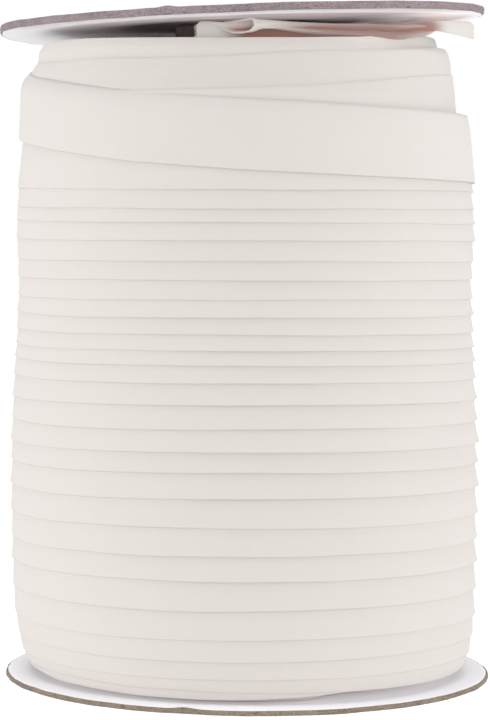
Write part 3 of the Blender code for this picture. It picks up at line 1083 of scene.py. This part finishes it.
    def place(self, along: Array, across: Array) -> Array:
        """Points of the whole strip for shares along and across it."""
        azimuth = pick(along, self.stations())
        reach = pick(across, self.shares()) * self.width
        cut = 0.25 * wander(reach, 0.45, 8.0) - 0.9 * ramp(reach, 3.0, 5.5) - 0.6 * ramp(reach, 1.2, 0.0)
        end = self.joint + self.end_azimuth
        azimuth = azimuth + cut * ramp(azimuth, end - 4.0, end)
        turns = self.turn_points(azimuth, reach)
        wrap = self.wrap_points(azimuth - self.joint, reach)
        start = self.joint - FULL_TURN
        mix = ramp(azimuth, start, start + 40.0)[:, None]
        return turns * (1.0 - mix) + wrap * mix

    def painted_shade(self, along: Array, across: Array) -> Array:
        """Share of painted shade on the loose end, where it lies in the folds under the hem."""
        azimuth = pick(along, self.stations()) - self.joint
        return ramp(azimuth, 292.0, 300.0) * ramp(azimuth, 368.0, 358.0)

    def flat_length(self) -> float:
        """Flat length of the strip in metres, along its middle."""
        stations = self.stations()
        points = self.place(np.linspace(0.0, 1.0, len(stations)), np.full(len(stations), 0.5))
        return float(np.linalg.norm(np.diff(points, axis=0), axis=1).sum()) * MM

    def build(self) -> Piece:
        """Lay the strip round the roll."""
        length = self.flat_length()
        shape = laid_grid(len(self.stations()) - 1, len(self.shares()) - 1, self.place,
                          (length, self.width * MM), self.painted_shade)
        piece = finish_cloth("wound_tape", shape, self.thickness, ["winding", "tape_end"])
        LOG.info("flat length %.2f m", length)
        return piece


@dataclass
class EarlierLayer:
    """The layer wound before: a right-handed strip whose upper edges show above the last wrap."""

    first: float = -330.0
    last: float = 826.0
    column: float = 3.6
    radius: float = 54.5
    width: float = 17.6
    thickness: float = 0.3
    layer: float = 0.42
    laps: tuple = (0.0, 0.02, 0.06, 0.15, 0.35, 0.6, 0.82, 0.95, 1.0, 1.1, 1.4, 1.9, 2.6, 3.6)

    def place(self, along: Array, across: Array) -> Array:
        """Points of the strip, counted down from its upper edge; the strip below laps over it."""
        rightwards = self.first + (self.last - self.first) * along
        top = read_table(UNDER_ROWS, rightwards)
        lapped = rightwards > self.first + FULL_TURN
        pitch = np.where(lapped, top - read_table(UNDER_ROWS, rightwards - FULL_TURN), 8.0)
        near = pick(across, self.laps)
        down = np.minimum(near * np.clip(pitch, 1.0, 12.0), near / self.laps[-1] * self.width)
        down += (self.width - down) * ramp(near, 1.1, self.laps[-1])
        height = top - down
        right = np.sin(np.radians(rightwards))
        layers = 0.85 - np.minimum(down / pitch, 3.5)
        radius = read_table(SKIN_ROWS, height) + layers * self.layer
        radius += 0.35 * right + 1.6 * np.maximum(-right, 0.0) * ramp(height, 161.5, 156.5)
        radius += 1.1 * ramp(np.cos(np.radians(rightwards)), 0.3, 0.85) * ramp(height, 157.0, 151.5)
        radius -= 0.12 * ramp(down, 0.5, 0.0)
        radius -= 1.5 * ramp(rightwards, 745.0, 785.0) * ramp(height, 161.0, 164.0)
        radius += 0.06 * wander(rightwards, 23.0, 9.0)
        radius += 0.05 * wander(rightwards, 7.0, 4.0) * ramp(down, 1.5, 0.0)
        return round_roll(-rightwards, radius, height)

    def build(self) -> Piece:
        """Lay the strip round the body's top."""
        columns = round((self.last - self.first) / self.column)
        length = math.tau * self.radius * (self.last - self.first) / FULL_TURN * MM
        shape = laid_grid(columns, 26, self.place, (length, self.width * MM))
        piece = finish_cloth("earlier_layer", shape, self.thickness)
        return piece


@dataclass
class OpenedHem:
    """The tape's turned-in hem, lying under the board and gaping where it is cut; flat size in metres."""

    columns: int = 84
    around: int = 120
    length: float = 0.06
    width: float = 0.0176
    thickness: float = 0.25
    right_end: float = -64.0

    @staticmethod
    def mouth(angle: Array) -> Array:
        """Azimuth of the cut at an angle round the section: 0 front, 90 top, 180 back, 270 foot."""
        cut = np.interp(angle, [0, 30, 60, 90, 120, 150, 190, 220, 250, 270, 300, 330, 360],
                        [-3.3, -3.2, -2.6, -1.0, 2.0, 6.0, 8.4, 6.8, 4.2, 1.5, -1.2, -2.9, -3.3])
        teeth = np.abs((angle / 7.0) % 2.0 - 1.0) - 0.5
        return cut + 0.45 * teeth + 0.2 * wander(angle, 11.0, 3.0)

    def section(self, along: Array, across: Array) -> tuple[Array, Array]:
        """Azimuths, and angles round the section, for shares along the hem and round it."""
        angle = across * 360.0
        return self.right_end + (self.mouth(angle) - self.right_end) * along, angle

    def place(self, along: Array, across: Array) -> Array:
        """Points of the hem for shares along it and round its section."""
        azimuth, angle = self.section(along, across)
        columns = [read_table(POCKET_ROWS, azimuth, number) for number in range(1, 6)]
        radius, depth, middle, half, pinch = columns
        turn = np.radians(angle)
        front = (1.0 + np.cos(turn)) / 2.0
        level = np.sign(np.sin(turn)) * np.abs(np.sin(turn)) ** 0.8
        squeeze = pinch * np.exp(-((self.from_crease(azimuth, angle) / 17.0) ** 2))
        reach = radius - depth * (1.0 - front) - squeeze
        height = middle + half * level + 0.1 * wander(azimuth, 8.0, 2.0)
        peak = wrapped(angle) - 50.0
        height += 0.5 * np.exp(-((peak / 22.0) ** 2)) * ramp(azimuth, -5.0, -2.9)
        points = round_roll(azimuth, reach, height)
        roof = UPPER_LIE.underside(points[:, 0], points[:, 1]) - 0.4
        points[:, 2] = np.minimum(points[:, 2], roof)
        return points

    @staticmethod
    def from_crease(azimuth: Array, angle: Array) -> Array:
        """Angle from the crease, which runs a little up the hem's front to the right."""
        crease = np.interp(azimuth, [-30.0, -20.0, -14.0, -9.0], [9.0, 5.0, -8.0, -22.0])
        return wrapped(angle) - crease

    def painted_shade(self, along: Array, across: Array) -> Array:
        """Share of painted shade on the hem's cloth: in its crease, at its foot, inside it and where it lies
        far under the board.
        """
        azimuth, angle = self.section(along, across)
        crease = np.exp(-((self.from_crease(azimuth, angle) / 14.0) ** 2)) * ramp(azimuth, -8.0, -22.0)
        foot = ramp(wrapped(angle), -40.0, -75.0) * ramp(azimuth, 1.0, -6.0)
        inside = np.exp(-(((angle - 205.0) / 22.0) ** 2)) * ramp(azimuth, 5.5, 1.0)
        deeper = read_table(HEM_SHADE, azimuth)
        mouth = 0.3 * ramp(np.cos(np.radians(angle)), 0.2, -0.6) * ramp(azimuth, 8.0, 3.0)
        return np.clip(deeper + 0.4 * crease + 0.3 * foot + mouth + 0.7 * inside, 0.0, 1.0)

    def build(self) -> Piece:
        """Lay the hem."""
        flat = (self.length, self.width)
        shape = laid_grid(self.columns, self.around, self.place, flat, self.painted_shade)
        bmesh.ops.remove_doubles(shape, verts=shape.verts, dist=0.00002)
        piece = finish_cloth("opened_hem", shape, self.thickness)
        return piece


@dataclass
class Frays:
    """Short loose threads that stand out of the tape's cut edges."""

    turns: OuterTurns
    hem: OpenedHem
    thickness: float = 0.055
    sides: int = 5

    def thread(self, shape: Shape, root: Array, tip: Array) -> None:
        """Add one tapering thread between two points in millimetres."""
        way = Vector(tip) - Vector(root)
        turned = way.to_track_quat("Z", "Y").to_matrix().to_4x4()
        middle = (Vector(tip) + Vector(root)) / 2.0
        bmesh.ops.create_cone(shape, cap_ends=True, segments=self.sides, radius1=self.thickness * MM,
                              radius2=self.thickness * 0.4 * MM, depth=way.length * MM,
                              matrix=Matrix.Translation(middle * MM) @ turned)

    def edge(self, shape: Shape, points: Array, ahead: Array, length: float,
             seed: float) -> None:
        """Add the threads of one cut edge.

        Args:
            shape: The mesh that they are added to.
            points: Places on the edge.
            ahead: Places just inside it.
            length: Usual length of a thread.
            seed: Number that picks their sequence.
        """
        order = np.arange(len(points)) * 1.0
        outward = points - ahead
        outward /= np.linalg.norm(outward, axis=1)[:, None]
        reach = length * (0.75 + 0.45 * wander(order, 1.0, seed))
        side = 0.55 * wander(order, 1.0, seed + 5.0)
        rise = 0.65 * wander(order, 1.0, seed + 9.0)
        for point, way, part, out, up in zip(points, outward, reach, side, rise):
            lean = Vector(way) + Vector((0.0, -abs(out) * 0.6, up))
            self.thread(shape, point - way * 0.5, point + np.array(lean.normalized()) * part)

    def build(self) -> Piece:
        """Stand the threads along the cut end and round the hem's mouth."""
        shape = bmesh.new()
        for cloth, across, inward, length, seed in (
                (self.turns, np.linspace(0.01, 0.34, 44), 0.0001, 0.75, 2.0),
                (self.hem, np.linspace(0.0, 0.995, 84), 0.01, 0.35, 6.0)):
            end = np.ones_like(across)
            self.edge(shape, cloth.place(end, across), cloth.place(end - inward, across), length, seed)
        return finish_piece("frayed_threads", shape, Finish.THREAD)


# ---------------------------------------------------------------------------------------------
# Stage
# ---------------------------------------------------------------------------------------------


class SoftBox(NamedTuple):
    """A soft light: name, place, size and power."""

    name: str
    place: tuple[float, float, float]
    size: float
    power: float


@dataclass
class Studio:
    """Floor, soft light and camera."""

    camera_place: tuple[float, float, float] = (0.0, -0.7558, 0.1287)
    pitch: float = 0.0599
    roll: float = 0.0087
    yaw: float = 0.001677
    lens: float = 143.08
    tint: tuple[float, float, float] = (0.965, 1.0, 1.035)
    tone: float = 1.5
    room: float = 0.51
    floor_near: float = 0.25
    floor_far: float = 0.1
    floor_fade: tuple[float, float] = (0.1, 0.26)
    floor_shown: float = 0.75
    boxes: list[SoftBox] = field(default_factory=lambda: [
        SoftBox("top_box", (0.0, -0.3, 1.3), 0.8, 6.2),
        SoftBox("left_box", (-1.1, -0.35, 0.15), 0.8, 12.6),
        SoftBox("right_box", (1.1, -0.35, 0.15), 0.8, 12.5),
        SoftBox("front_box", (0.0, -1.2, 0.12), 0.8, 2.6),
    ])

    def floor(self) -> None:
        """A plain pale floor."""
        shape = bmesh.new()
        bmesh.ops.create_circle(shape, cap_ends=True, segments=64, radius=6.0)
        mesh = bpy.data.meshes.new("floor")
        shape.to_mesh(mesh)
        shape.free()
        material, nodes, shader = blank_material("pale_floor", (0.9, 0.9, 0.9))
        seen = nodes.add("ShaderNodeLightPath").outputs["Is Camera Ray"]
        place = nodes.add("ShaderNodeTexCoord").outputs["Object"]
        away = nodes.add("ShaderNodeVectorMath", {0: place}, operation="LENGTH").outputs["Value"]
        glow = nodes.grade(away, *self.floor_fade, self.floor_near, self.floor_far)
        unseen = nodes.sum("MULTIPLY", nodes.sum("SUBTRACT", 1.0, seen), glow)
        shown = nodes.sum("MULTIPLY", seen, self.floor_shown)
        nodes.feed(shader, {
            "Base Color": (0.86, 0.86, 0.86), "Roughness": 0.9, "Emission Color": (1.0, 1.0, 1.0),
            "Emission Strength": nodes.sum("ADD", unseen, shown)})
        mesh.materials.append(material)
        floor = add_object("floor", mesh)
        floor.location = (0.0, 0.0, -0.0001)

    def light(self) -> None:
        """An even white room and its soft boxes."""
        world = bpy.data.worlds.new("white_room")
        world.use_nodes = True
        nodes = NodeBoard(world.node_tree)
        seen = nodes.add("ShaderNodeLightPath").outputs["Is Camera Ray"]
        nodes.feed(world.node_tree.nodes["Background"], {
            "Color": nodes.blend(seen, self.tint, (1.0, 1.0, 1.0)),
            "Strength": nodes.grade(seen, 0.0, 1.0, self.room, 1.0)})
        bpy.context.scene.world = world
        for box in self.boxes:
            lamp = bpy.data.lights.new(box.name, "AREA")
            lamp.shape = "SQUARE"
            lamp.size = box.size
            lamp.energy = box.power
            lamp.color = self.tint
            item = add_object(box.name, lamp)
            item.location = box.place
            aim = Vector((0.0, 0.0, 0.09)) - Vector(box.place)
            item.rotation_euler = aim.to_track_quat("-Z", "Y").to_euler()

    def camera(self) -> None:
        """The camera at the photographed angle."""
        data = bpy.data.cameras.new("camera")
        data.lens = self.lens
        data.sensor_width = 36.0
        data.clip_start = 0.01
        data.clip_end = 50.0
        item = add_object("camera", data)
        turn = Matrix.Rotation(self.yaw, 4, "Z") @ Matrix.Rotation(math.pi / 2.0 - self.pitch, 4, "X")
        item.matrix_world = Matrix.Translation(self.camera_place) @ turn @ Matrix.Rotation(self.roll, 4, "Z")
        bpy.context.scene.camera = item

    def build(self) -> None:
        """Set the stage."""
        self.floor()
        self.light()
        self.camera()
        settings = bpy.context.scene.view_settings
        settings.view_transform = "Standard"
        settings.look = "None"
        settings.gamma = self.tone


def main() -> None:
    """Build the roll and its stage."""
    logging.basicConfig(level=logging.INFO, format="%(message)s")
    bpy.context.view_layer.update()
    lower = Board("board_lower", 64.0, 1.35, BoardLie(), 11.0, burrs=[Burr(14.0, 2.5, 0.5, 0.3)],
                  glow=PaintedPaperLight(Finish.FOOT_FACING, True, FOOT_RADII, FOOT_PAINTED_LIGHT))
    upper = Board("board_upper", 63.4, 2.1, UPPER_LIE, 23.0, burrs=[Burr(16.5, 1.6, 0.45, 0.2)],
                  card=Finish.LILAC_BOARD, white_edge=True,
                  glow=PaintedPaperLight(Finish.SLOT_FACING, False, SLOT_RADII, SLOT_PAINTED_LIGHT, 1.0))
    turns, hem = OuterTurns(), OpenedHem()
    for part in (lower, CoreTube(), InnerLayers(), turns, EarlierLayer(), hem, Frays(turns, hem), upper):
        part.build()
    Studio().build()


if __name__ == "__main__":
    main()
